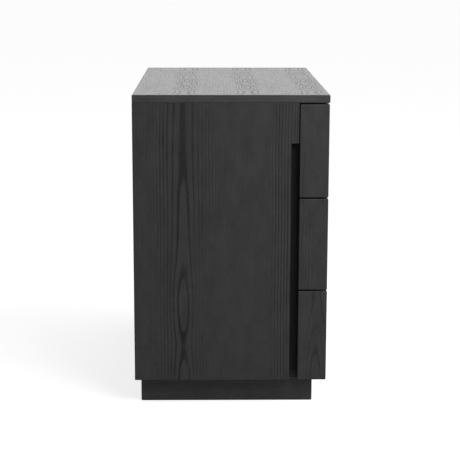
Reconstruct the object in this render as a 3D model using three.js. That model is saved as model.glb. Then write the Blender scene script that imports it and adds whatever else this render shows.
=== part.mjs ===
// A nightstand with three drawers, in millimetres. +Z is up and the front faces -Y.
// The origin is on the floor, below the middle of the top.
// Each drawer front is a full-width board with a short mitred return at each end. Behind the returns, a long
// slot in each side of the cabinet lets the fingers reach their back edges, so the drawers need no handles.
import * as THREE from "three";
import { RoundedBoxGeometry } from "three/addons/geometries/RoundedBoxGeometry.js";

// Overall size
const WIDTH = 760;
const DEPTH = 446;
const HEIGHT = 726;

// Board thicknesses
const BOARD = 18; // top, sides, bottom, plinth and rails
const FRONT_BOARD = 16; // drawer fronts and their returns
const THIN_BOARD = 12; // inner liners and drawer boxes
const BACK_BOARD = 6; // back panel and drawer bottoms

// Plinth
const PLINTH_HEIGHT = 60;
const PLINTH_INSET = 30; // from each side and from the drawer fronts
const PLINTH_BACK_INSET = 13;
const CORNER_BLOCK = 45;
const CORNER_BLOCK_LIFT = 6;

// Drawers
const DRAWER_NAMES = ["bottom_drawer", "middle_drawer", "top_drawer"];
const DRAWER_GAP = 3;
const FRONT_SETBACK = 1; // drawer faces behind the front edge of the top
const RETURN_LENGTH = 66.5;
const RETURN_CLEARANCE = 2; // from a return to the side panel behind it and the liner beside it
const BOX_HEIGHT = 150;
const BOX_LIFT = 22; // box sides above the lower edge of the front
const BOX_BOTTOM_LIFT = 12; // drawer bottom above the lower edge of the box sides
const BOX_LENGTH = 390;

// Finger slots
const SLOT_WIDTH = 19;
const SLOT_TOP_DROP = 111; // top of the slot below the top surface

// Cabinet
const CARCASS_SETBACK = 10; // carcass boards behind the rear face of the drawer fronts
const BACK_RECESS = 6;
const RAIL_WIDTH = 70;

// Three-part ball-bearing slides
const SLIDE_LENGTH = 350;
const SLIDE_SETBACK = 4; // behind the front edge of the liners
const SLIDE_THICKNESS = 12.75;
const SLIDE_WALL = 1.25;
const SLIDE_MEMBERS = [
  // [name, half height, web face and flange tips measured from the liner]; 3.25 mm is left for the ball rows
  ["cabinet_slide", 22.5, 0, 8.5],
  ["middle_slide", 18, 2, 10.5],
  ["drawer_slide", 13.5, SLIDE_THICKNESS, 4.5],
];

// Eased edges
const EASE_TOP = 2;
const EASE_PANEL = 1;
const EASE_FRONT = 2;
const EASE_PLINTH = 3;
const MITRE_GAP = 0.3;

// Planes worked out from the sizes above
const SIDE = WIDTH / 2; // outer face of each side
const SIDE_INNER = SIDE - BOARD;
const LINER_INNER = SIDE_INNER - THIN_BOARD;
const BOX_OUTER = LINER_INNER - SLIDE_THICKNESS;
const BOX_INNER = BOX_OUTER - THIN_BOARD;
const FRONT_EDGE = -DEPTH / 2;
const BACK_EDGE = DEPTH / 2;
const FACE = FRONT_EDGE + FRONT_SETBACK;
const FACE_REAR = FACE + FRONT_BOARD;
const RETURN_END = FACE + RETURN_LENGTH;
const PANEL_FRONT = RETURN_END + RETURN_CLEARANCE;
const SLOT_BACK = RETURN_END + SLOT_WIDTH;
const CARCASS_FRONT = FACE_REAR + CARCASS_SETBACK;
const BACK_PANEL_FRONT = BACK_EDGE - BACK_RECESS - BACK_BOARD;
const TOP_UNDERSIDE = HEIGHT - BOARD;
const SLOT_TOP = HEIGHT - SLOT_TOP_DROP;
const FLOOR_TOP = PLINTH_HEIGHT + BOARD;
const DRAWER_COUNT = DRAWER_NAMES.length;
const DRAWER_HEIGHT = (TOP_UNDERSIDE - PLINTH_HEIGHT - DRAWER_COUNT * DRAWER_GAP) / DRAWER_COUNT;
const SIDES = [
  ["left", -1],
  ["right", 1],
];

const blackAsh = new THREE.MeshStandardMaterial({ color: 0x34332f, roughness: 0.55, metalness: 0 });
const drawerFace = new THREE.MeshStandardMaterial({ color: 0x3a3935, roughness: 0.55, metalness: 0 });
const drawerBox = new THREE.MeshStandardMaterial({ color: 0x26231f, roughness: 0.6, metalness: 0 });
const zincSteel = new THREE.MeshStandardMaterial({ color: 0xa9abad, roughness: 0.35, metalness: 1 });

const nightstand = new THREE.Group();

function add(name, geometry, material) {
  const mesh = new THREE.Mesh(geometry, material);
  mesh.name = name;
  nightstand.add(mesh);
  return mesh;
}

const middle = ([low, high]) => (low + high) / 2;

// A board that fills the spans given along X, Y and Z. An ease rounds all its edges.
function board(name, x, y, z, material, ease = 0) {
  const size = [x, y, z].map(([low, high]) => high - low);
  const geometry = ease ? new RoundedBoxGeometry(...size, 1, ease) : new THREE.BoxGeometry(...size);
  add(name, geometry, material).position.set(middle(x), middle(y), middle(z));
}

// A span on one side of the cabinet, given as distances from its middle plane: side is -1 or 1.
function mirrored(side, inner, outer) {
  return side < 0 ? [-outer, -inner] : [inner, outer];
}

// An outline of [a, b] points as a Shape. A mirrored outline is turned round, so that it stays anticlockwise.
function outline(points, mirror = 1) {
  const placed = points.map(([a, b]) => new THREE.Vector2(a * mirror, b));
  return new THREE.Shape(THREE.ShapeUtils.isClockWise(placed) ? placed.reverse() : placed);
}

// An outline extruded by depth, keeping its full size where the edges of its two ends are eased.
function extruded(shape, depth, ease = 0) {
  return new THREE.ExtrudeGeometry(shape, {
    depth: depth - 2 * ease,
    bevelEnabled: ease > 0,
    bevelSize: ease,
    bevelThickness: ease,
    bevelOffset: -ease,
    bevelSegments: 2,
    steps: 1,
  }).translate(0, 0, ease);
}

function cabinet() {
  board("top_panel", [-SIDE, SIDE], [FRONT_EDGE, BACK_EDGE], [TOP_UNDERSIDE, HEIGHT], blackAsh, EASE_TOP);
  board("bottom_panel", [-SIDE_INNER, SIDE_INNER], [CARCASS_FRONT, BACK_PANEL_FRONT],
    [PLINTH_HEIGHT, FLOOR_TOP], blackAsh);
  board("back_panel", [-SIDE_INNER, SIDE_INNER], [BACK_PANEL_FRONT, BACK_PANEL_FRONT + BACK_BOARD],
    [PLINTH_HEIGHT, TOP_UNDERSIDE], blackAsh);
  const railSpan = [TOP_UNDERSIDE - BOARD, TOP_UNDERSIDE];
  board("top_front_rail", [-LINER_INNER, LINER_INNER], [CARCASS_FRONT, CARCASS_FRONT + RAIL_WIDTH],
    railSpan, blackAsh);
  board("top_back_rail", [-LINER_INNER, LINER_INNER], [BACK_PANEL_FRONT - RAIL_WIDTH, BACK_PANEL_FRONT],
    railSpan, blackAsh);
  for (const [label, side] of SIDES) {
    sidePanel(`${label}_side_panel`, side);
    board(`${label}_inner_liner`, mirrored(side, LINER_INNER, SIDE_INNER),
      [CARCASS_FRONT, BACK_PANEL_FRONT], [FLOOR_TOP, TOP_UNDERSIDE], blackAsh);
  }
}

// A side panel, with its front edge cut back below SLOT_TOP to leave the finger slot.
function sidePanel(name, side) {
  const shape = outline([
    [BACK_EDGE, PLINTH_HEIGHT],
    [BACK_EDGE, TOP_UNDERSIDE],
    [PANEL_FRONT, TOP_UNDERSIDE],
    [PANEL_FRONT, SLOT_TOP],
    [SLOT_BACK, SLOT_TOP],
    [SLOT_BACK, PLINTH_HEIGHT],
  ]);
  // The outline is drawn on the YZ plane and extruded along +X.
  const geometry = extruded(shape, BOARD, EASE_PANEL).rotateX(Math.PI / 2).rotateZ(Math.PI / 2);
  add(name, geometry, blackAsh).position.x = mirrored(side, SIDE_INNER, SIDE)[0];
}

function plinth() {
  const outer = SIDE - PLINTH_INSET;
  const inner = outer - BOARD;
  const front = FACE + PLINTH_INSET;
  const back = BACK_EDGE - PLINTH_BACK_INSET;
  const height = [0, PLINTH_HEIGHT];
  board("plinth_front_rail", [-inner, inner], [front, front + BOARD], height, blackAsh);
  board("plinth_back_rail", [-inner, inner], [back - BOARD, back], height, blackAsh);
  for (const [label, side] of SIDES) {
    board(`plinth_${label}_rail`, mirrored(side, inner, outer), [front, back], height, blackAsh, EASE_PLINTH);
    cornerBlock(`plinth_${label}_front_block`, side, inner, front + BOARD, 1);
    cornerBlock(`plinth_${label}_back_block`, side, inner, back - BOARD, -1);
  }
}

// A triangular block glued into a corner of the plinth. inward is the way along Y to the middle of the plinth.
function cornerBlock(name, side, x, y, inward) {
  const shape = outline([[x, y], [x - CORNER_BLOCK, y], [x, y + inward * CORNER_BLOCK]], side);
  const block = add(name, extruded(shape, PLINTH_HEIGHT - CORNER_BLOCK_LIFT), blackAsh);
  block.position.z = CORNER_BLOCK_LIFT;
}

// The front of a drawer and its two returns, which meet it at 45 degrees.
function drawerFront(drawer, bottom) {
  const glue = MITRE_GAP * Math.SQRT2; // along X, which leaves MITRE_GAP square across the mitre
  const inner = SIDE - FRONT_BOARD;
  const front = outline([
    [-SIDE + glue, FACE],
    [SIDE - glue, FACE],
    [inner - glue, FACE_REAR],
    [-inner + glue, FACE_REAR],
  ]);
  add(`${drawer}_front`, extruded(front, DRAWER_HEIGHT, EASE_FRONT), drawerFace).position.z = bottom;
  for (const [label, side] of SIDES) {
    const wing = outline([[SIDE, FACE], [SIDE, RETURN_END], [inner, RETURN_END], [inner, FACE_REAR]], side);
    add(`${drawer}_${label}_return`, extruded(wing, DRAWER_HEIGHT, EASE_FRONT), drawerFace).position.z = bottom;
  }
}

function drawerBoxAt(drawer, bottom) {
  const ends = [FACE_REAR, FACE_REAR + BOX_LENGTH];
  const low = bottom + BOX_LIFT;
  const height = [low, low + BOX_HEIGHT];
  const between = [-BOX_INNER, BOX_INNER];
  for (const [label, side] of SIDES)
    board(`${drawer}_box_${label}`, mirrored(side, BOX_INNER, BOX_OUTER), ends, height, drawerBox);
  board(`${drawer}_box_front`, between, [ends[0], ends[0] + THIN_BOARD], height, drawerBox);
  board(`${drawer}_box_back`, between, [ends[1] - THIN_BOARD, ends[1]], height, drawerBox);
  const floor = low + BOX_BOTTOM_LIFT;
  board(`${drawer}_box_bottom`, between, [ends[0] + THIN_BOARD, ends[1] - THIN_BOARD],
    [floor, floor + BACK_BOARD], drawerBox);
}

// The three nested channels of each slide. The cabinet and middle ones open towards the drawer, and the
// drawer's own one opens towards the cabinet.
function slides(drawer, bottom) {
  const axisHeight = bottom + BOX_LIFT + BOX_HEIGHT / 2;
  const start = CARCASS_FRONT + SLIDE_SETBACK;
  for (const [label, side] of SIDES)
    for (const [member, half, web, tip] of SLIDE_MEMBERS) {
      const wall = Math.sign(tip - web) * SLIDE_WALL;
      const profile = [
        [web, -half],
        [tip, -half],
        [tip, -half + SLIDE_WALL],
        [web + wall, -half + SLIDE_WALL],
        [web + wall, half - SLIDE_WALL],
        [tip, half - SLIDE_WALL],
        [tip, half],
        [web, half],
      ].map(([across, up]) => [LINER_INNER - across, up]);
      // The profile is drawn on the XZ plane and extruded towards -Y, then moved back by its own length.
      const geometry = extruded(outline(profile, side), SLIDE_LENGTH).rotateX(Math.PI / 2);
      add(`${drawer}_${label}_${member}`, geometry, zincSteel).position.set(0, start + SLIDE_LENGTH, axisHeight);
    }
}

cabinet();
plinth();
DRAWER_NAMES.forEach((drawer, i) => {
  const bottom = PLINTH_HEIGHT + i * (DRAWER_HEIGHT + DRAWER_GAP);
  drawerFront(drawer, bottom);
  drawerBoxAt(drawer, bottom);
  slides(drawer, bottom);
});

export default nightstand;
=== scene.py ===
"""The finished look of a black-stained ash nightstand with three drawers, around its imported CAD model.

Metres, +Z up, the drawer fronts face -Y. Each visible board is rebuilt with rounded edges in the place of
its CAD node, and the slides get their screws, balls and ball cages. Every material is procedural.
"""
import math

import bmesh
import bpy
from mathutils import Matrix, Vector


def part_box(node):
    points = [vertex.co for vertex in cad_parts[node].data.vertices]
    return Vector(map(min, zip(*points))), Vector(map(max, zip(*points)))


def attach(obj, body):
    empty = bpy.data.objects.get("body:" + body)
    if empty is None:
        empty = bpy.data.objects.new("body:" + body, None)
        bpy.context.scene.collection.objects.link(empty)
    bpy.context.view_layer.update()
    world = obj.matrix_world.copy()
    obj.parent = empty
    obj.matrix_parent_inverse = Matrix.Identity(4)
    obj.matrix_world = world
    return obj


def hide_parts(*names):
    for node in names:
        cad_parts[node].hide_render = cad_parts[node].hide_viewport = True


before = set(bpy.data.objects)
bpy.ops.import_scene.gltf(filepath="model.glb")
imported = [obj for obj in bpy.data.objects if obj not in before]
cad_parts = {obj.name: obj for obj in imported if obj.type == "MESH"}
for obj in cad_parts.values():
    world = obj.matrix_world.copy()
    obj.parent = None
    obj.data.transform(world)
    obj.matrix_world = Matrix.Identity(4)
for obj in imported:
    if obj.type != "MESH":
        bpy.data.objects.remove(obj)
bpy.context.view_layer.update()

MM = 0.001
DRAWERS = ("bottom_drawer", "middle_drawer", "top_drawer")
SIDES = (("left", -1), ("right", 1))

# How far the edges are rounded
EASE_TOP = 2.0 * MM
EASE_PANEL = 1.2 * MM
EASE_FRONT = 2.2 * MM
EASE_PLINTH = 3.0 * MM
EASE_BOX = 1.5 * MM
EASE_HIDDEN = 0.6 * MM

# Faces that meet at a sharper angle than these, in degrees, are rounded, or shaded with a sharp edge.
ROUNDED_ANGLE = 30.0
SHARP_ANGLE = 50.0
CUT_SHARP_ANGLE = 35.0

MITRE_GAP = 0.12 * MM  # width of the joint line at a drawer front's corner
LINER_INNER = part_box("right_inner_liner")[0].x  # half the width between the two liners


# ---------------------------------------------------------------- camera and light

CAMERA_PLACE = (-3.266, 0.044, 1.020)
CAMERA_DOWN = 10.57  # degrees below the horizon
CAMERA_TURN = 0.83  # degrees from +X towards the front
CAMERA_ROLL = 0.10  # degrees
CAMERA_LENS, CAMERA_SENSOR = 101.1, 36.0  # millimetres
CAMERA_RAISE = -0.06  # share of the frame, kept small so that other views keep the object in frame
CAMERA_REACH = (0.01, 200.0)


def make_camera():
    down, turn, roll = (math.radians(a) for a in (CAMERA_DOWN, CAMERA_TURN, CAMERA_ROLL))
    ahead = Vector((math.cos(turn) * math.cos(down), -math.sin(turn) * math.cos(down), -math.sin(down)))
    right = Vector((-math.sin(turn), -math.cos(turn), 0.0))
    up = right.cross(ahead)
    rolled_right = right * math.cos(roll) + up * math.sin(roll)
    rolled_up = up * math.cos(roll) - right * math.sin(roll)
    data = bpy.data.cameras.new("camera")
    data.lens = CAMERA_LENS
    data.sensor_width = CAMERA_SENSOR
    data.shift_y = CAMERA_RAISE
    data.clip_start, data.clip_end = CAMERA_REACH
    camera = bpy.data.objects.new("camera", data)
    turned = Matrix((rolled_right, rolled_up, -ahead)).transposed().to_4x4()
    camera.matrix_world = Matrix.Translation(CAMERA_PLACE) @ turned
    bpy.context.scene.collection.objects.link(camera)
    bpy.context.scene.camera = camera


def area_light(name, place, target, size, power):
    data = bpy.data.lights.new(name, "AREA")
    data.shape = "RECTANGLE"
    data.size, data.size_y = size
    data.energy = power
    light = bpy.data.objects.new(name, data)
    light.visible_camera = False
    light.location = place
    light.rotation_euler = (Vector(target) - Vector(place)).to_track_quat("-Z", "Y").to_euler()
    bpy.context.scene.collection.objects.link(light)


# ---------------------------------------------------------------- material nodes

class Shader:
    """A material's node tree, with one short call for each kind of node that the materials here use."""

    def __init__(self, name):
        self.material = bpy.data.materials.new(name)
        self.material.use_nodes = True
        self.tree = self.material.node_tree
        self.tree.nodes.clear()

    def place(self, socket, value):
        if isinstance(value, bpy.types.NodeSocket):
            self.tree.links.new(value, socket)
        else:
            socket.default_value = value

    def node(self, kind, inputs, **settings):
        made = self.tree.nodes.new(kind)
        for key, value in settings.items():
            setattr(made, key, value)
        for key, value in inputs.items():
            self.place(made.inputs[key], value)
        return made

    def math(self, operation, *values, clamp=False):
        made = self.node("ShaderNodeMath", {}, operation=operation, use_clamp=clamp)
        for socket, value in zip(made.inputs, values):
            self.place(socket, value)
        return made.outputs[0]

    def add(self, a, b):
        return self.math("ADD", a, b)

    def sub(self, a, b):
        return self.math("SUBTRACT", a, b)

    def mul(self, a, b):
        return self.math("MULTIPLY", a, b)

    def vector(self, x, y, z):
        return self.node("ShaderNodeCombineXYZ", {"X": x, "Y": y, "Z": z}).outputs[0]

    def position(self):
        """The point in the row frame at rest, as {"x": ..., "y": ..., "z": ...}."""
        coordinates = self.node("ShaderNodeTexCoord", {})
        split = self.node("ShaderNodeSeparateXYZ", {"Vector": coordinates.outputs["Object"]})
        return {axis: split.outputs[axis.upper()] for axis in "xyz"}

    def stretched(self, at, x, y, z, lift=0.0):
        """A point of position(), stretched along each axis and lifted."""
        return self.vector(self.mul(at["x"], x), self.mul(at["y"], y), self.add(self.mul(at["z"], z), lift))

    def noise(self, vector, detail=2.0, roughness=0.5):
        """Noise from about 0.2 to 0.8, with its middle at 0.5, at one wave to each unit of vector."""
        inputs = {"Vector": vector, "Scale": 1.0, "Detail": detail, "Roughness": roughness}
        return self.node("ShaderNodeTexNoise", inputs, noise_dimensions="3D").outputs["Fac"]

    def signed_noise(self, vector, reach, detail):
        """Noise with its middle at 0, which seldom passes reach on either side."""
        return self.mul(self.sub(self.noise(vector, detail=detail), 0.5), 4.0 * reach)

    def ramp(self, value, low, high, from_value=0.0, to_value=1.0):
        """from_value below low, to_value above high and a smooth step between."""
        inputs = {"Value": value, "From Min": low, "From Max": high, "To Min": from_value,
                  "To Max": to_value}
        made = self.node("ShaderNodeMapRange", inputs, interpolation_type="SMOOTHSTEP", clamp=True)
        return made.outputs[0]

    def curve(self, value, points):
        """A smooth curve through given (position, height) points, both from 0 to 1."""
        made = self.node("ShaderNodeFloatCurve", {"Factor": 1.0, "Value": value})
        line = made.mapping.curves[0]
        while len(line.points) < len(points):
            line.points.new(0.5, 0.5)
        for spot, (position, height) in zip(line.points, points):
            spot.location = (position, height)
        made.mapping.update()
        return made.outputs[0]

    def blend(self, share, first, second):
        made = self.node("ShaderNodeMix", {}, data_type="RGBA")
        # A mix node has sockets for every data type. These three are the ones of a colour mix.
        for index, value in ((0, share), (6, first), (7, second)):
            self.place(made.inputs[index], value)
        return made.outputs[2]

    def finish(self, colour, roughness, height, bump_depth, **constants):
        """Closes the material. The constants are other sockets of the shader, with _ for each space."""
        shader = self.node("ShaderNodeBsdfPrincipled", {"Base Color": colour, "Roughness": roughness})
        for key, value in constants.items():
            shader.inputs[key.replace("_", " ")].default_value = value
        bump = self.node("ShaderNodeBump", {"Height": height, "Distance": bump_depth, "Strength": 1.0})
        self.place(shader.inputs["Normal"], bump.outputs[0])
        output = self.node("ShaderNodeOutputMaterial", {})
        self.place(output.inputs["Surface"], shader.outputs[0])
        return self.material


def grey(level, warmth=0.0):
    """A linear colour of one brightness, warmer than neutral if warmth is above 0."""
    return (level * (1 + warmth), level, level * (1 - warmth), 1.0)


# ---------------------------------------------------------------- black-stained ash

RING = 7.0 * MM  # spacing of the growth rings
LEAF_APART = 0.07  # keeps the noise of one veneer leaf apart from the next
HEART_REACH = 50.0 * MM  # the depth that 1 stands for in a heart's depth curve
HEART_REST = 24.0 * MM  # the depth that a heart with such a curve has far away from itself
HEART_NEAR, HEART_FAR = 18.0 * MM, 45.0 * MM  # between these distances the curve loses its hold
HEART_HOLD = 0.2  # what is left of it beyond
FREE_DEPTH = (4.0 * MM, 34.0 * MM)  # of a heart without a curve

# Noise scales in waves per metre, across the grain and along it
STRAY_ALONG = 3.0
DEPTH_ALONG = 4.2
RIPPLE = (42.0, 9.0)
PATCHES = (16.0, 2.2)
PORES = (1450.0, 55.0)
FIBRES = (420.0, 9.0)
CLOUDS = (38.0, 17.0)

# How far each takes the stain from its dark colour to its light one, and how far the last two take it back
BASE_TONE, FIBRE_TONE, CLOUD_TONE = 0.22, 0.30, 0.60
LINE_TONE, PORE_TONE = 0.85, 0.22
LACQUER_BUMP = 0.09 * MM


def read_off(s, value, setting):
    """The height at value of a curve that is set as (low, high, points)."""
    low, high, points = setting
    return s.curve(s.math("DIVIDE", s.sub(value, low), high - low), points)


def heart_distance(s, width, along_leaf, lane, seed, heart, wander):
    """The signed distance across the board from the log's heart, which strays as it goes along."""
    stray_at = s.vector(s.mul(along_leaf, STRAY_ALONG), lane, seed + 9.7)
    return s.add(s.sub(width, heart), s.signed_noise(stray_at, wander, detail=1.0))


def heart_depths(s, far, along_leaf, lane, seed, heart_depth):
    """The heart's depth below the face, from its curve if it has one."""
    if heart_depth:
        drawn = s.mul(read_off(s, along_leaf, heart_depth), HEART_REACH)
        hold = s.ramp(far, HEART_NEAR, HEART_FAR, 1.0, HEART_HOLD)
        return s.add(HEART_REST, s.mul(s.sub(drawn, HEART_REST), hold))
    waver = s.noise(s.vector(s.mul(along_leaf, DEPTH_ALONG), lane, seed + 3.1), detail=1.0)
    return s.ramp(waver, 0.3, 0.7, *FREE_DEPTH)


def ash(name, along, across, seed, leaf=None, leaf_start=0.0, slip=12.0 * MM, heart=0.0, heart_depth=None,
        wander=5.0 * MM, ring_size=RING, core=(30.0 * MM, 90.0 * MM), bands=None, gain=None,
        line_strength=1.0, faint_year=0.35, dark=0.004, light=0.042, roughness=0.43, shine=0.3):
    """Black-stained open-pore ash under a thin satin lacquer.

    along and across are the axes of the grain on the board's face. Where leaf is set, the face is laid from
    veneer leaves of that width, one after the other from the same log, starting at leaf_start, each a slip
    further along. heart is the place across the board, or across each leaf, where the log's heart runs, and
    wander how far it strays. The rings are circles round the heart, so a heart that comes near the surface
    draws the pointed arches of flat-sawn ash.

    heart_depth is the heart's depth along the board and bands the strength of the ring lines across it, each
    as (low, high, points) for read_off. Without them the depth varies slowly, and the lines fade between the
    two core distances from the heart. gain is how the lines strengthen along the board, as the last four
    values of Shader.ramp. faint_year is the strength of the faintest year's line.
    """
    s = Shader(name)
    axes = s.position()
    length, width = axes[along], axes[across]
    third = next(axes[axis] for axis in "xyz" if axis not in (along, across))
    number = 0.0
    if leaf:
        counted = s.math("DIVIDE", s.sub(width, leaf_start), leaf)
        number = s.math("FLOOR", counted)
        width = s.mul(s.sub(s.math("FRACT", counted), 0.5), leaf)
    along_leaf = s.add(length, s.mul(number, slip))
    lane = s.add(s.mul(number, LEAF_APART), seed)

    def grain_at(scales, end):
        return s.vector(s.mul(width, scales[0]), s.mul(length, scales[1]), end)

    offset = heart_distance(s, width, along_leaf, lane, seed, heart, wander)
    far = s.math("ABSOLUTE", offset)
    depth = heart_depths(s, far, along_leaf, lane, seed, heart_depth)
    ripple_at = s.vector(s.mul(width, RIPPLE[0]), s.mul(along_leaf, RIPPLE[1]), lane)
    ripple = s.signed_noise(ripple_at, 0.25 * wander, detail=2.0)
    radius = s.add(s.math("SQRT", s.add(s.mul(offset, offset), s.mul(depth, depth))), ripple)

    # A ring starts abruptly with its dark porous early wood and clears slowly into the dense late wood.
    counted_rings = s.math("DIVIDE", radius, ring_size)
    ring = s.math("FRACT", counted_rings)
    early = s.mul(s.ramp(ring, 0.0, 0.12), s.ramp(ring, 0.16, 0.55, 1.0, 0.0))
    # Some years grew darker than others.
    year_at = s.vector(s.mul(s.math("FLOOR", counted_rings), 0.73), lane, 0.4)
    year = s.ramp(s.noise(year_at, detail=0.0), 0.35, 0.6, faint_year, 1.0)
    share_across = read_off(s, width, bands) if bands else s.ramp(far, *core, 1.0, 0.18)
    patchy = s.ramp(s.noise(grain_at(PATCHES, lane), detail=2.0), 0.36, 0.62, 0.45, 1.0)
    strength = s.mul(s.ramp(length, *gain), line_strength) if gain else line_strength
    lines = s.mul(s.mul(s.mul(early, year), share_across), s.mul(patchy, strength))

    # Open pores: short dark scratches along the grain, crowded in the early wood.
    pore_noise = s.noise(grain_at(PORES, s.mul(third, PORES[0])), detail=1.0)
    pores = s.ramp(s.add(pore_noise, s.mul(s.mul(early, share_across), 0.13)), 0.58, 0.70)
    fibre = s.noise(grain_at(FIBRES, s.mul(third, FIBRES[0])), detail=3.0, roughness=0.65)
    cloud = s.noise(grain_at(CLOUDS, seed + 5.5), detail=4.0, roughness=0.6)

    tone = s.add(s.add(s.mul(fibre, FIBRE_TONE), s.mul(cloud, CLOUD_TONE)), BASE_TONE)
    tone = s.sub(tone, s.mul(lines, LINE_TONE))
    share = s.math("SUBTRACT", tone, s.mul(pores, PORE_TONE), clamp=True)
    colour = s.blend(share, grey(dark, 0.02), grey(light, 0.01))
    # Pores and lines are rougher than the lacquer between them, and lie lower.
    uneven = s.add(s.mul(cloud, 0.12), s.add(s.mul(lines, 0.15), roughness - 0.06))
    rough = s.add(s.mul(pores, 0.16), uneven)
    height = s.sub(s.mul(fibre, 0.35), s.add(s.mul(pores, 1.0), s.mul(lines, 0.5)))
    return s.finish(colour, rough, height, LACQUER_BUMP, Specular_IOR_Level=shine)


def edge_band(name, along, seed):
    """Ash edging, a strip of veneer with its grain along the edge, cut far from the heart."""
    across = "z" if along != "z" else "y"
    return ash(name, along, across, seed, heart=0.9, line_strength=0.4, dark=0.010, light=0.053, shine=0.34)


# ---------------------------------------------------------------- the other materials

def matt_board(name, level, seed, shine=0.12):
    """The inside of the cabinet: board stained black with no lacquer."""
    s = Shader(name)
    at = s.position()
    grain = s.noise(s.stretched(at, 60.0, 60.0, 14.0), detail=4.0)
    speck = s.noise(s.stretched(at, 700.0, 700.0, 700.0, seed))
    share = s.math("ADD", s.mul(grain, 0.7), s.mul(speck, 0.3), clamp=True)
    colour = s.blend(share, grey(level * 0.45, 0.03), grey(level * 1.55, 0.03))
    rough = s.add(s.mul(grain, 0.15), 0.6)
    return s.finish(colour, rough, speck, 0.05 * MM, Specular_IOR_Level=shine)


def zinc_steel():
    """Rolled, zinc-plated steel: dull, slightly blue and brushed along the slide."""
    s = Shader("zinc_steel")
    at = s.position()
    brushed = s.noise(s.stretched(at, 2200.0, 26.0, 2200.0), detail=2.0)
    spangle = s.noise(s.stretched(at, 90.0, 60.0, 90.0), detail=3.0)
    share = s.math("ADD", s.mul(brushed, 0.5), s.mul(spangle, 0.5), clamp=True)
    colour = s.blend(share, (0.30, 0.31, 0.33, 1.0), (0.44, 0.45, 0.48, 1.0))
    rough = s.add(s.mul(spangle, 0.2), 0.30)
    return s.finish(colour, rough, brushed, 0.01 * MM, Metallic=1.0)


# ---------------------------------------------------------------- pieces

def keep(piece, nodes, body):
    """Rides a finished piece on its body, where it stands for its CAD nodes."""
    if nodes:
        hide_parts(*nodes)
    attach(piece, body)
    return piece


def piece_from(bm, name, materials, smooth=True):
    bmesh.ops.recalc_face_normals(bm, faces=bm.faces)
    mesh = bpy.data.meshes.new(name)
    bm.to_mesh(mesh)
    bm.free()
    for material in materials:
        mesh.materials.append(material)
    if smooth:
        mesh.shade_smooth()
        mesh.set_sharp_from_angle(angle=math.radians(SHARP_ANGLE))
    piece = bpy.data.objects.new(name, mesh)
    bpy.context.scene.collection.objects.link(piece)
    return piece


def bevel_convex(bm, width, segments=4):
    """Rounds every edge where two faces meet at an outward corner."""
    bm.normal_update()
    least = math.radians(ROUNDED_ANGLE)
    edges = [e for e in bm.edges if len(e.link_faces) == 2 and e.is_convex and e.calc_face_angle() > least]
    bmesh.ops.bevel(bm, geom=edges, offset=width, offset_type="OFFSET", segments=segments, profile=0.5,
                    affect="EDGES", clamp_overlap=True)


def weighted(piece):
    """Flat faces shade flat up to their rounded edges."""
    modifier = piece.modifiers.new("weighted_normals", "WEIGHTED_NORMAL")
    modifier.keep_sharp = True
    modifier.weight = 100
    return piece


def prism(outline, low, high, axis="z"):
    """A bmesh prism. The outline's points are (x, y) for axis z, (y, z) for axis x and (x, z) for axis y."""
    placed = {
        "z": lambda a, b, c: (a, b, c),
        "x": lambda a, b, c: (c, a, b),
        "y": lambda a, b, c: (a, c, b),
    }[axis]
    bm = bmesh.new()
    ends = [[bm.verts.new(placed(a, b, level)) for a, b in outline] for level in (low, high)]
    bm.faces.new(ends[0])
    bm.faces.new(ends[1])
    for i in range(len(outline)):
        j = (i + 1) % len(outline)
        bm.faces.new((ends[0][i], ends[0][j], ends[1][j], ends[1][i]))
    bmesh.ops.recalc_face_normals(bm, faces=bm.faces)
    return bm


def box_bmesh(low, high):
    corners = [(low[0], low[1]), (high[0], low[1]), (high[0], high[1]), (low[0], high[1])]
    return prism(corners, low[2], high[2])


def board(node, body, materials, ease, choose=None, segments=4):
    """A board in the place of one CAD node, with rounded edges.

    Where choose is given, choose(face normal) is the index of each face's material.
    """
    bm = box_bmesh(*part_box(node))
    bevel_convex(bm, ease, segments)
    piece = weighted(piece_from(bm, f"{node}_board", materials))
    if choose:
        for face in piece.data.polygons:
            face.material_index = choose(face.normal)
    return keep(piece, [node], body)


# ---------------------------------------------------------------- the cabinet

CUT_MARGIN = 5.0 * MM  # clear of a side panel's own eased edges
HEAD_MARGIN = 20.0 * MM  # less than the finger slot starts below the panel's head
TOP_FACE_RISE = 0.72  # the least upward share of the normals that belong to the top board's face


def side_outline(node):
    """A side panel's outline on the YZ plane: its front edge is cut back below the top of the finger slot."""
    low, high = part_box(node)
    corners = [v.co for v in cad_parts[node].data.vertices]
    inner = [v for v in corners if low.y + CUT_MARGIN < v.y < high.y - CUT_MARGIN]
    step_y = min(v.y for v in inner)
    step_z = max(v.z for v in inner if v.z < high.z - HEAD_MARGIN)
    return [(high.y, low.z), (high.y, high.z), (low.y, high.z), (low.y, step_z), (step_y, step_z),
            (step_y, low.z)]


def top_material(normal):
    """0 on the top board's face, 1 on its two ends and 2 on its long edges."""
    if abs(normal.z) > TOP_FACE_RISE:
        return 0
    return 1 if abs(normal.x) > abs(normal.y) else 2


def make_cabinet(looks):
    top_looks = [looks["top"], looks["top_end"], looks["top_edge"]]
    board("top_panel", "root", top_looks, EASE_TOP, top_material, segments=5)

    def inside_board(node, look):
        board(node, "root", [looks[look]], EASE_HIDDEN, segments=2)

    for label, _ in SIDES:
        node = f"{label}_side_panel"
        low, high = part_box(node)
        bm = prism(side_outline(node), low.x, high.x, "x")
        bevel_convex(bm, EASE_PANEL)
        panel = weighted(piece_from(bm, f"{node}_board", [looks[f"{label}_side"]]))
        keep(panel, [node], "root")
        inside_board(f"{label}_inner_liner", "inside")
    inside_board("bottom_panel", "inside_edge")
    inside_board("back_panel", "back")
    inside_board("top_front_rail", "inside")
    inside_board("top_back_rail", "inside")


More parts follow.
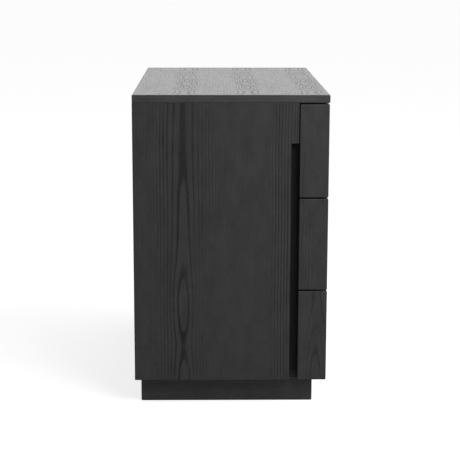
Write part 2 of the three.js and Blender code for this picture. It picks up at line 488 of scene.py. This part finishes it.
def make_plinth(looks):
    for node in ("plinth_left_rail", "plinth_right_rail"):
        board(node, "root", [looks["plinth_side"]], EASE_PLINTH)
    for node in ("plinth_front_rail", "plinth_back_rail"):
        board(node, "root", [looks["plinth_cross"]], EASE_HIDDEN, segments=2)
    for label, _ in SIDES:
        for end in ("front", "back"):
            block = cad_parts[f"plinth_{label}_{end}_block"].data
            block.materials.clear()
            block.materials.append(looks["inside"])


# ---------------------------------------------------------------- the drawers

def cut_mitre(bm, side, outer, face, way):
    """Cuts a U-shaped front at one mitre and keeps its front if way is 1, or its return if way is -1."""
    # The mitre's plane passes through the outer corner at 45 degrees, and its normal leads to the front.
    normal = Vector((-side, -1.0, 0.0)).normalized()
    point = Vector((side * outer, face, 0.0)) + normal * (way * MITRE_GAP / 2)
    cut = bmesh.ops.bisect_plane(bm, geom=[*bm.verts, *bm.edges, *bm.faces], plane_co=point,
                                 plane_no=normal, clear_inner=way > 0, clear_outer=way < 0)
    rim = [g for g in cut["geom_cut"] if isinstance(g, bmesh.types.BMEdge)]
    bmesh.ops.contextual_create(bm, geom=rim)


def make_drawer_front(drawer, looks):
    """The front and its two returns are one eased U in plan, cut at the mitres, so their edges run on."""
    low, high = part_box(f"{drawer}_front")
    wing_low, wing_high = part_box(f"{drawer}_left_return")
    outer, face, end = -wing_low.x, wing_low.y, wing_high.y
    thick = high.y - low.y
    rear, inner = face + thick, outer - thick
    outline = [(-outer, end), (-outer, face), (outer, face), (outer, end), (inner, end), (inner, rear),
               (-inner, rear), (-inner, end)]
    return_look = "low_return" if drawer == "bottom_drawer" else "return"
    # Of each part: its look, and what its left and its right mitre keep
    parts = {
        "front": ("front", 1, 1),
        "left_return": (return_look, -1, 0),
        "right_return": (return_look, 0, -1),
    }
    for part, (look, *ways) in parts.items():
        bm = prism(outline, wing_low.z, wing_high.z)
        bevel_convex(bm, EASE_FRONT, 5)
        for (_, side), way in zip(SIDES, ways):
            if way:
                cut_mitre(bm, side, outer, face, way)
        name = f"{drawer}_{part}"
        piece = weighted(piece_from(bm, f"{name}_board", [looks[look]]))
        keep(piece, [name], drawer)


def make_drawer_box(drawer, looks):
    for part in ("box_left", "box_right", "box_front", "box_back"):
        board(f"{drawer}_{part}", drawer, [looks["box"]], EASE_BOX, segments=3)
    board(f"{drawer}_box_bottom", drawer, [looks["box_bottom"]], EASE_HIDDEN, segments=2)


# ---------------------------------------------------------------- the slides and the screws

# Of each member, in millimetres: half its height, its web and flange tips inward from the liner, and its lip
SLIDE_MEMBERS = {
    "cabinet_slide": (22.5, 0.0, 8.5, 2.2),
    "middle_slide": (18.0, 2.0, 10.5, 1.4),
    "drawer_slide": (13.5, 12.75, 4.5, 2.0),
}
SLIDE_WALL = 1.25 * MM
BEND_RADIUS = 1.1 * MM
BEND_WALLS = 1.6  # the most that a bend's radius is, in walls

# The holes through a member's web: each one's place as a share of the member's length, and its own length
ROUND_HOLE, SHORT_SLOT, LONG_SLOT = 4.6, 10.0, 16.0
WEB_HOLES = ((0.08, ROUND_HOLE), (0.22, SHORT_SLOT), (0.36, ROUND_HOLE), (0.5, LONG_SLOT),
             (0.64, ROUND_HOLE), (0.78, SHORT_SLOT), (0.92, ROUND_HOLE))
HOLE_STRAIGHT = 0.02  # keeps the two ends of a round hole's outline apart
CUTTER_REACH = 3.0 * MM  # on each side of the web

# Of each fixed member's screws, in millimetres: their places as shares of its length, the depth of their
# seats inward from the liner, the side they look to (1 is away from the drawer), their diameter and height
SLIDE_SCREWS = {
    "cabinet_slide": ((0.08, 0.64, 0.92), 0.6, -1, 6.0, 1.0),
    "drawer_slide": ((0.08, 0.36, 0.92), 11.5, 1, 7.0, 1.7),
}

# Of each ball cage, in millimetres: the member it rides with, half its height, its web and tips inward from
# the liner, and the height and depth of its rows of balls. It stays where both members reach at every pull.
BALL_CAGES = {
    "outer_cage": ("cabinet_slide", 19.8, 1.42, 6.9, 19.62, 5.0),
    "inner_cage": ("middle_slide", 15.3, 3.62, 9.3, 15.12, 7.4),
}
CAGE_WALL = 0.36 * MM
CAGE_START, CAGE_LENGTH = 12.0 * MM, 112.0 * MM
BALL_RADIUS, BALL_PITCH = 1.55 * MM, 9.0 * MM
BALL_MARGIN = 6.0 * MM  # from the cage's front end to its first ball


def rounded_path(points, radius, steps=4):
    """The points of a path whose inner corners are turned into arcs."""
    path = [Vector(points[0])]
    for before, corner, after in zip(points, points[1:], points[2:]):
        corner = Vector(corner)
        back, on = (Vector(before) - corner).normalized(), (Vector(after) - corner).normalized()
        half = back.angle(on) / 2
        reach = radius / math.tan(half)
        centre = corner + (back + on).normalized() * (radius / math.sin(half))
        start, end = corner + back * reach - centre, corner + on * reach - centre
        turn = start.angle_signed(end)
        for i in range(steps + 1):
            angle = -turn * i / steps
            path.append(centre + Vector((start.x * math.cos(angle) - start.y * math.sin(angle),
                                         start.x * math.sin(angle) + start.y * math.cos(angle))))
    return path + [Vector(points[-1])]


def thickened(path, wall):
    """The closed outline of a strip of sheet metal that follows a path."""
    sides = ([], [])
    for i, point in enumerate(path):
        ahead = (path[min(i + 1, len(path) - 1)] - path[max(i - 1, 0)]).normalized()
        across = Vector((-ahead.y, ahead.x)) * (wall / 2)
        sides[0].append(point + across)
        sides[1].append(point - across)
    return [tuple(point) for point in sides[0] + sides[1][::-1]]


def channel(side, half, web, tip, wall, lip, start, end):
    """A bent channel as a prism along Y, at height 0. Its web and tips are measured inward from the liner."""
    way = math.copysign(1.0, tip - web)
    middle = web + way * wall / 2
    level = half - wall / 2
    end_tip = tip - way * wall / 2 if lip else tip
    corners = [(end_tip, level), (middle, level), (middle, -level), (end_tip, -level)]
    if lip:
        corners = [(end_tip, level - lip)] + corners + [(end_tip, lip - level)]
    path = rounded_path(corners, min(BEND_RADIUS, BEND_WALLS * wall))
    outline = [(side * (LINER_INNER - u), z) for u, z in thickened(path, wall)]
    return prism(outline, start, end, "y")


def moved(bm, offset):
    bmesh.ops.translate(bm, verts=bm.verts, vec=offset)
    return bm


def joined_bmesh(parts):
    whole = bmesh.new()
    for part in parts:
        mesh = bpy.data.meshes.new("part")
        part.to_mesh(mesh)
        part.free()
        whole.from_mesh(mesh)
        bpy.data.meshes.remove(mesh)
    return whole


def cut_away(piece, cutter_bm):
    """Cuts one mesh out of a piece for good."""
    cutter = piece_from(cutter_bm, "cutter", [], smooth=False)
    modifier = piece.modifiers.new("cut", "BOOLEAN")
    modifier.operation, modifier.solver, modifier.object = "DIFFERENCE", "EXACT", cutter
    solid = bpy.data.meshes.new_from_object(piece.evaluated_get(bpy.context.evaluated_depsgraph_get()))
    piece.modifiers.clear()
    old = piece.data
    piece.data = solid
    bpy.data.meshes.remove(old)
    bpy.data.objects.remove(cutter)
    solid.shade_smooth()
    solid.set_sharp_from_angle(angle=math.radians(CUT_SHARP_ANGLE))


def slot_cutter(centre, length, width, reach, steps=8):
    """A rounded slot through a slide's web, with its long axis along Y."""
    outline = []
    straight = (length - width) / 2
    for end in (1, -1):
        for i in range(steps + 1):
            angle = math.pi * (i / steps - 0.5) + (0 if end > 0 else math.pi)
            outline.append((centre.y + end * straight + math.cos(angle) * width / 2,
                            centre.z + math.sin(angle) * width / 2))
    return prism(outline, centre.x - reach, centre.x + reach, "x")


HEAD_SIDES = 20
HEAD_PROFILE = ((0.50, 0.0), (0.50, 0.35), (0.46, 0.75), (0.36, 1.0))  # shares of its diameter and its height
CROSS_ARM, CROSS_HALF = 0.30, 0.055  # reach and half width of the recess, as shares of the diameter
CROSS_TAPER, CROSS_FLOOR = 0.6, 0.35  # its foot against its mouth, and its floor as a share of the height


def screw_head(place, way, diameter, height):
    """A pan head with a cross recess, standing on place and looking along way."""
    bm = bmesh.new()
    rings = []
    for share, level in HEAD_PROFILE:
        turns = [math.tau * i / HEAD_SIDES for i in range(HEAD_SIDES)]
        rings.append([bm.verts.new((math.cos(turn) * share * diameter, math.sin(turn) * share * diameter,
                                    level * height)) for turn in turns])
    bm.faces.new(rings[0][::-1])
    for low, high in zip(rings, rings[1:]):
        for i in range(HEAD_SIDES):
            j = (i + 1) % HEAD_SIDES
            bm.faces.new((low[i], low[j], high[j], high[i]))
    arm, half = CROSS_ARM * diameter, CROSS_HALF * diameter
    plus = [(arm, half), (half, half), (half, arm), (-half, arm), (-half, half), (-arm, half),
            (-arm, -half), (-half, -half), (-half, -arm), (half, -arm), (half, -half), (arm, -half)]
    mouth = [bm.verts.new((x, y, height)) for x, y in plus]
    foot = [bm.verts.new((x * CROSS_TAPER, y * CROSS_TAPER, height * CROSS_FLOOR)) for x, y in plus]
    for i in range(len(plus)):
        j = (i + 1) % len(plus)
        bm.faces.new((mouth[i], mouth[j], foot[j], foot[i]))
    bm.faces.new(foot)
    rims = [bm.edges.get((loop[i], loop[(i + 1) % len(loop)])) for loop in (rings[-1], mouth)
            for i in range(len(loop))]
    bmesh.ops.triangle_fill(bm, edges=rims, use_beauty=True)
    turned = Vector(way).to_track_quat("Z", "Y").to_matrix().to_4x4()
    bmesh.ops.transform(bm, matrix=Matrix.Translation(place) @ turned, verts=bm.verts)
    return bm


def screws(name, places, way, body, looks, diameter, height):
    heads = joined_bmesh([screw_head(place, way, diameter, height) for place in places])
    keep(piece_from(heads, name, [looks["steel"]]), [], body)


def slide_member(node, member, side, body, looks):
    """One member of a slide, with the holes through its web and, if it is a fixed one, its screws."""
    half, web, tip, lip = (value * MM for value in SLIDE_MEMBERS[member])
    low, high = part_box(node)
    level = ((low + high) / 2).z

    def spot(share, depth):
        return Vector((side * (LINER_INNER - depth), low.y + (high.y - low.y) * share, level))

    bent = channel(side, half, web, tip, SLIDE_WALL, lip, low.y, high.y)
    piece = piece_from(moved(bent, (0.0, 0.0, level)), f"{node}_bent", [looks["steel"]])
    cutters = [slot_cutter(spot(share, web), (long + HOLE_STRAIGHT) * MM, ROUND_HOLE * MM, CUTTER_REACH)
               for share, long in WEB_HOLES]
    cut_away(piece, joined_bmesh(cutters))
    keep(piece, [node], body)
    if member in SLIDE_SCREWS:
        shares, seat, way, diameter, height = SLIDE_SCREWS[member]
        places = [spot(share, seat * MM) for share in shares]
        screws(f"{node}_screws", places, (way * side, 0, 0), body, looks, diameter * MM, height * MM)


def ball_cage(drawer, label, cage, side, bodies, looks):
    """A thin cage between two members, with its two rows of balls."""
    member, half, web, tip, row, ball_depth = BALL_CAGES[cage]
    low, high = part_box(f"{drawer}_{label}_{member}")
    level = (low.z + high.z) / 2
    start = low.y + CAGE_START
    parts = [channel(side, half * MM, web * MM, tip * MM, CAGE_WALL, 0.0, start, start + CAGE_LENGTH)]
    for row_height in (-row * MM, row * MM):
        for i in range(int((CAGE_LENGTH - BALL_MARGIN) / BALL_PITCH)):
            ball = bmesh.new()
            bmesh.ops.create_icosphere(ball, subdivisions=2, radius=BALL_RADIUS)
            place = (side * (LINER_INNER - ball_depth * MM), start + BALL_MARGIN + i * BALL_PITCH, row_height)
            parts.append(moved(ball, place))
    whole = moved(joined_bmesh(parts), (0, 0, level))
    keep(piece_from(whole, f"{drawer}_{label}_{cage}", [looks["steel"]]), [], bodies[member])


def make_slides(drawer, looks):
    bodies = {"cabinet_slide": "root", "middle_slide": f"{drawer}_middle_slides", "drawer_slide": drawer}
    for label, side in SIDES:
        for member, body in bodies.items():
            slide_member(f"{drawer}_{label}_{member}", member, side, body, looks)
        for cage in BALL_CAGES:
            ball_cage(drawer, label, cage, side, bodies, looks)


BACK_SCREW_ROWS, BACK_SCREW_COLUMNS = 5, 4
BACK_SCREW_MARGINS = (6.0 * MM, 20.0 * MM, 9.0 * MM)  # from the side edges, the corners, and top and foot
FRONT_SCREW_SHARES = ((0.12, 0.38, 0.62, 0.88), (0.36, 0.78))  # across the drawer box's front and up it


def make_screws(looks):
    """The screws that hold the back on, and those inside each drawer that hold its front."""
    low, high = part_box("back_panel")
    from_side, from_corner, from_end = BACK_SCREW_MARGINS
    places = []
    for i in range(BACK_SCREW_ROWS):
        z = low.z + from_corner + (high.z - low.z - 2 * from_corner) * i / (BACK_SCREW_ROWS - 1)
        places += [Vector((side * (high.x - from_side), high.y, z)) for _, side in SIDES]
    for i in range(BACK_SCREW_COLUMNS):
        x = low.x + (high.x - low.x) * (i + 1) / (BACK_SCREW_COLUMNS + 1)
        places += [Vector((x, high.y, high.z - from_end)), Vector((x, high.y, low.z + from_end))]
    screws("back_panel_screws", places, (0, 1, 0), "root", looks, 6.0 * MM, 1.8 * MM)
    for drawer in DRAWERS:
        low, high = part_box(f"{drawer}_box_front")
        across, up = FRONT_SCREW_SHARES
        places = [Vector((low.x + (high.x - low.x) * share, high.y, low.z + (high.z - low.z) * level))
                  for share in across for level in up]
        screws(f"{drawer}_front_screws", places, (0, 1, 0), drawer, looks, 8.0 * MM, 2.2 * MM)


# ---------------------------------------------------------------- stage

FLOOR_GLOW = 0.71  # added to the floor where the camera sees it, so that it looks as white as the studio
FLOOR_SHARE = 0.50  # of the light that the floor gives back
FLOOR_REACH = 60.0
FLOOR_DROP = 0.2 * MM  # below the plinth, so that their faces don't meet


def make_floor():
    s = Shader("pale_floor")
    diffuse = s.node("ShaderNodeBsdfDiffuse", {"Color": grey(FLOOR_SHARE)})
    path = s.node("ShaderNodeLightPath", {})
    glow_strength = s.mul(path.outputs["Is Camera Ray"], FLOOR_GLOW)
    glow = s.node("ShaderNodeEmission", {"Color": grey(1.0), "Strength": glow_strength})
    both = s.node("ShaderNodeAddShader", {})
    s.place(both.inputs[0], diffuse.outputs[0])
    s.place(both.inputs[1], glow.outputs[0])
    output = s.node("ShaderNodeOutputMaterial", {})
    s.place(output.inputs["Surface"], both.outputs[0])
    bm = bmesh.new()
    bmesh.ops.create_grid(bm, x_segments=1, y_segments=1, size=FLOOR_REACH)
    floor = piece_from(bm, "floor", [s.material], smooth=False)
    floor.location.z = -FLOOR_DROP


# The studio's brightness by direction, each step as the last four values of ramp in make_world
STUDIO_SIDES = (-0.5, 0.6, 0.26, 1.0)  # from the side that the camera stands on to the far side
FAR_BAND = ((0.2, 0.9, 0.0, 1.0), (0.25, 0.6, 0.68, 0.0))  # added low on the far side: across, then up
NEAR_BAND = ((-0.6, 0.1, 1.0, 0.0), (0.15, 0.6, 0.26, 0.0))  # added low on the camera's side


def make_world():
    """A white studio, dimmer on the side that the camera stands on and brightest low on the far side.

    The camera itself sees it plain white.
    """
    world = bpy.data.worlds.new("studio")
    bpy.context.scene.world = world
    world.use_nodes = True
    tree = world.node_tree
    tree.nodes.clear()

    def node(kind, **settings):
        made = tree.nodes.new(kind)
        for key, value in settings.items():
            setattr(made, key, value)
        return made

    def ramp(value, low, high, from_value, to_value):
        made = node("ShaderNodeMapRange", interpolation_type="SMOOTHSTEP")
        tree.links.new(value, made.inputs["Value"])
        limits = {"From Min": low, "From Max": high, "To Min": from_value, "To Max": to_value}
        for key, number in limits.items():
            made.inputs[key].default_value = number
        return made.outputs[0]

    def joined(operation, first, second):
        made = node("ShaderNodeMath", operation=operation)
        tree.links.new(first, made.inputs[0])
        tree.links.new(second, made.inputs[1])
        return made.outputs[0]

    way = node("ShaderNodeTexCoord")
    split = node("ShaderNodeSeparateXYZ")
    tree.links.new(way.outputs["Generated"], split.inputs[0])
    east, height = split.outputs["X"], split.outputs["Z"]
    bands = [joined("MULTIPLY", ramp(east, *across), ramp(height, *up))
             for across, up in (FAR_BAND, NEAR_BAND)]
    strength = joined("ADD", ramp(east, *STUDIO_SIDES), joined("ADD", *bands))
    lit = node("ShaderNodeBackground")
    tree.links.new(strength, lit.inputs["Strength"])
    seen = node("ShaderNodeBackground")
    seen.inputs["Strength"].default_value = 1.0
    seen.inputs["Color"].default_value = (1.0, 1.0, 1.0, 1.0)
    path = node("ShaderNodeLightPath")
    mixed = node("ShaderNodeMixShader")
    tree.links.new(path.outputs["Is Camera Ray"], mixed.inputs[0])
    tree.links.new(lit.outputs[0], mixed.inputs[1])
    tree.links.new(seen.outputs[0], mixed.inputs[2])
    output = node("ShaderNodeOutputWorld")
    tree.links.new(mixed.outputs[0], output.inputs[0])


def make_lights():
    area_light("key", place=(-0.6, -3.4, 2.3), target=(0.0, 0.0, 0.3), size=(2.2, 2.2), power=95.0)
    area_light("side", place=(-1.45, -0.85, 1.6), target=(-0.38, 0.0, 0.4), size=(1.0, 1.0), power=25.0)


# ---------------------------------------------------------------- the looks of each board

# Where the side panels' curves begin and end, up the panel and from its front to its back
PANEL_FOOT, PANEL_HEAD = 60.0 * MM, 708.0 * MM
PANEL_FRONT, PANEL_BACK = -155.0 * MM, 223.0 * MM

# The left side panel, which is the one that the main view shows. From its foot to its head, the depth of its
# heart draws the tip of an arch, a closed tear drop above it and a long arch that ends in a dark flame.
LEFT_HEART = (PANEL_FOOT, PANEL_HEAD, [
    (0.0, 0.36), (0.05, 0.40), (0.10, 0.448), (0.135, 0.466), (0.165, 0.448), (0.205, 0.41), (0.275, 0.375),
    (0.34, 0.40), (0.40, 0.45), (0.47, 0.502), (0.58, 0.53), (0.70, 0.554), (0.745, 0.570), (0.80, 0.583),
    (0.90, 0.588), (1.0, 0.60)])
# Its ring lines are strong round the heart and again near the finger slot, at its front edge.
LEFT_BANDS = (PANEL_FRONT, PANEL_BACK, [
    (0.0, 0.5), (0.06, 0.6), (0.14, 0.42), (0.20, 0.08), (0.42, 0.05), (0.50, 0.12), (0.58, 0.32),
    (0.63, 0.48), (0.66, 0.85), (0.735, 0.85), (0.765, 0.6), (0.80, 0.55), (0.86, 0.28), (0.94, 0.08),
    (1.0, 0.12)])
# They also strengthen from the lower half of the panel to its upper half.
LEFT_GAIN = (0.30, 0.56, 0.82, 1.45)
RIGHT_HEART = (PANEL_FOOT, PANEL_HEAD, [
    (0.0, 0.60), (0.10, 0.52), (0.22, 0.46), (0.36, 0.41), (0.46, 0.40), (0.53, 0.46), (0.60, 0.585),
    (0.68, 0.60), (0.78, 0.52), (0.88, 0.44), (1.0, 0.36)])
RIGHT_BANDS = (PANEL_FRONT, PANEL_BACK, [
    (0.0, 0.15), (0.10, 0.08), (0.22, 0.10), (0.34, 0.35), (0.46, 0.75), (0.53, 0.80), (0.60, 0.50),
    (0.70, 0.22), (0.78, 0.08), (0.90, 0.30), (1.0, 0.45)])
# The ends of the bottom drawer's front show the tip of an arch, which points up.
LOW_RETURN_HEAD = 273.0 * MM
LOW_RETURN_HEART = (PANEL_FOOT, LOW_RETURN_HEAD, [
    (0.0, 0.30), (0.30, 0.37), (0.62, 0.50), (0.80, 0.58), (1.0, 0.60)])
# The top is laid from slip-matched leaves, whose hearts rise to the surface and sink again three times.
HALF_WIDTH = 380.0 * MM
TOP_LEAF = 145.5 * MM
TOP_LEAF_START = -257.0 * MM
TOP_HEART = (-HALF_WIDTH, HALF_WIDTH, [
    (0.0, 0.40), (0.09, 0.52), (0.24, 0.08), (0.355, 0.50), (0.46, 0.08), (0.60, 0.52), (0.745, 0.10),
    (0.90, 0.50), (1.0, 0.36)])
# Each drawer front is laid from four leaves.
FRONT_LEAF = HALF_WIDTH / 2


def make_looks():
    return {
        "top": ash("ash_top", "x", "y", 2.0, leaf=TOP_LEAF, leaf_start=TOP_LEAF_START, slip=0.0,
                   heart_depth=TOP_HEART, wander=3.0 * MM, ring_size=6.5 * MM, core=(18.0 * MM, 36.0 * MM),
                   line_strength=1.25, shine=0.5, roughness=0.30),
        "top_end": edge_band("ash_top_end", "y", 4.4),
        "top_edge": edge_band("ash_top_edge", "x", 6.1),
        "left_side": ash("ash_left_side", "z", "y", 1.3, heart=0.108, heart_depth=LEFT_HEART,
                         wander=2.0 * MM, bands=LEFT_BANDS, gain=LEFT_GAIN, faint_year=0.85,
                         line_strength=1.1),
        "right_side": ash("ash_right_side", "z", "y", 7.9, heart=0.035, heart_depth=RIGHT_HEART,
                          wander=2.5 * MM, bands=RIGHT_BANDS, faint_year=0.6),
        "front": ash("ash_front", "z", "x", 5.2, leaf=FRONT_LEAF, leaf_start=-HALF_WIDTH, wander=4.0 * MM,
                     core=(22.0 * MM, 62.0 * MM), line_strength=0.85),
        "return": ash("ash_return", "z", "y", 8.4, heart=-0.12, line_strength=0.35),
        "low_return": ash("ash_low_return", "z", "y", 3.4, heart=-0.196, heart_depth=LOW_RETURN_HEART,
                          wander=2.5 * MM, ring_size=6.0 * MM, core=(14.0 * MM, 30.0 * MM),
                          line_strength=0.27),
        # Painted light: the plinth's ash is a lighter copy (light 0.049 against 0.042 elsewhere), to bring up
        # the brightness that light from the floor gives its foot.
        "plinth_side": ash("ash_plinth_side", "y", "z", 3.3, heart=0.2, line_strength=0.5, light=0.049),
        "plinth_cross": ash("ash_plinth_cross", "x", "z", 6.6, heart=0.2, line_strength=0.5, light=0.049),
        "back": matt_board("back_board", 0.021, 2.2, shine=0.3),
        "inside": matt_board("inside_board", 0.010, 1.1),
        "inside_edge": matt_board("bottom_board", 0.016, 4.1, shine=0.2),
        "box": ash("drawer_box_ash", "y", "z", 9.2, heart=0.35, line_strength=0.5, light=0.030,
                   roughness=0.55, shine=0.25),
        "box_bottom": matt_board("drawer_bottom_board", 0.019, 5.1, shine=0.25),
        "steel": zinc_steel(),
    }


# ---------------------------------------------------------------- everything

make_camera()
bpy.context.scene.view_settings.view_transform = "Standard"
make_world()
make_lights()
make_floor()
looks = make_looks()
make_cabinet(looks)
make_plinth(looks)
for drawer_name in DRAWERS:
    make_drawer_front(drawer_name, looks)
    make_drawer_box(drawer_name, looks)
    make_slides(drawer_name, looks)
make_screws(looks)
